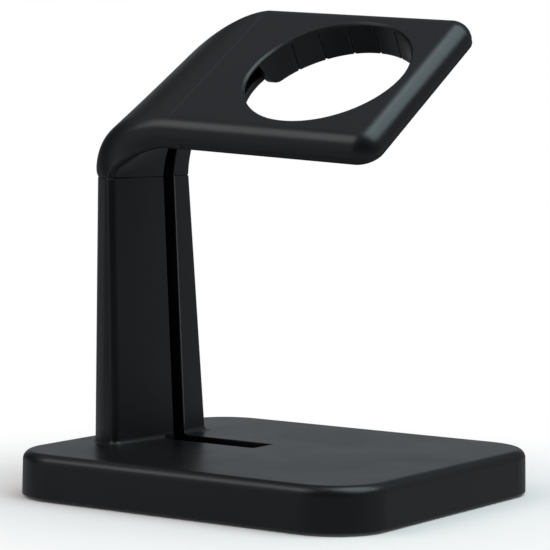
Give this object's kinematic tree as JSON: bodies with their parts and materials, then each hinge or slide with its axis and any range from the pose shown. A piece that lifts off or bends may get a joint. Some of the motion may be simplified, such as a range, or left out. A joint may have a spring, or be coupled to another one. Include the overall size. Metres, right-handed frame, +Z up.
{
  "type": "smartwatch charging dock",
  "caption": "Desk dock with a weighted flat base, a D-section column with a cable groove, and a tilted plate with a round spring-fingered seat for a charging puck.",
  "frame": {"origin": "on the floor under the feet, below the middle of the base", "axes": "+X from the column towards the plate's free end, +Y to the rear (the plate's raised side), +Z up"},
  "size_m": [0.07, 0.062, 0.0817],
  "materials": {
    "shell": "satin, finely textured",
    "head": "satin, finely textured",
    "cover": "matte",
    "bottom": "matte",
    "rubber": "matte",
    "ballast": "zinc plated, rolled",
    "screw": "black oxide"
  },
  "bodies": {
    "root": {"base_body": "shell", "head_shell": "head", "head_cover": "cover", "bottom_cover": "bottom", "ballast_plate": "ballast", "head_screw": "screw", "foot_front_left": "rubber", "foot_rear_left": "rubber", "foot_front_right": "rubber", "foot_rear_right": "rubber", "screw_front_left": "screw", "screw_rear_left": "screw", "screw_front_right": "screw", "screw_rear_right": "screw"}
  },
  "joints": []
}
